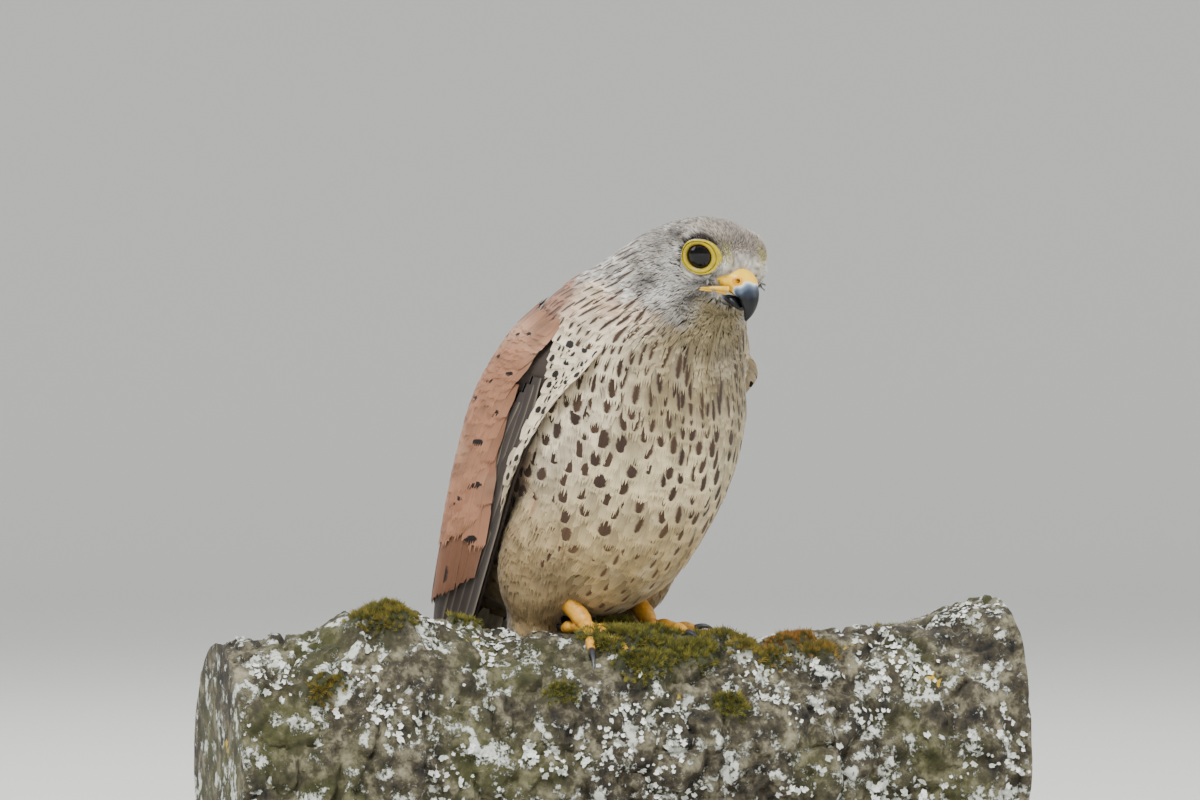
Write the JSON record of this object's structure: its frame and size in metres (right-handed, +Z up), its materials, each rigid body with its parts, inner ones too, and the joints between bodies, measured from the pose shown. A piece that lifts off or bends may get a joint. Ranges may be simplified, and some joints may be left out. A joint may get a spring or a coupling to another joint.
{
  "type": "common kestrel",
  "caption": "Life-size still model of an adult male common kestrel perched on a cut branch, on a flat display stand.",
  "frame": {"origin": "middle of the stand's flat underside, on the surface it rests on", "axes": "+Z up, the bird faces -Y, and its left side is at +X"},
  "size_m": [0.3091, 0.2431, 0.3063],
  "materials": {
    "grey_head_feathers": "soft matt feathers, slate grey with fine dark shafts",
    "cream_spotted_feathers": "soft matt feathers, cream to buff with dark spots",
    "chestnut_feathers": "matt feathers, chestnut with black spots",
    "tail_feathers": "matt feathers, blue-grey with a black band",
    "dark_wet_eye": "very glossy, near black",
    "horn_bill": "satin horn, blue-grey to black at the tip",
    "yellow_skin": "fine scaled skin, yellow",
    "black_claw": "satin black horn",
    "mossy_bark": "rough bark with moss and lichen",
    "stained_wood": "satin dark stained wood",
    "steel_rod": "brushed"
  },
  "bodies": {
    "root": {"head": "grey_head_feathers", "neck": "grey_head_feathers", "torso": "cream_spotted_feathers", "tail": "tail_feathers", "wing_left": "chestnut_feathers", "wing_right": "chestnut_feathers", "thigh_left": "cream_spotted_feathers", "thigh_right": "cream_spotted_feathers", "foot_left": "yellow_skin", "foot_right": "yellow_skin", "eye_left": "dark_wet_eye", "eye_right": "dark_wet_eye", "bill_upper": "horn_bill", "bill_lower": "horn_bill", "claw_left_inner": "black_claw", "claw_left_middle": "black_claw", "claw_left_outer": "black_claw", "claw_left_hind": "black_claw", "claw_right_inner": "black_claw", "claw_right_middle": "black_claw", "claw_right_outer": "black_claw", "claw_right_hind": "black_claw", "perch_branch": "mossy_bark", "stand_base": "stained_wood", "stand_rod_left": "steel_rod", "stand_rod_right": "steel_rod"}
  },
  "joints": []
}
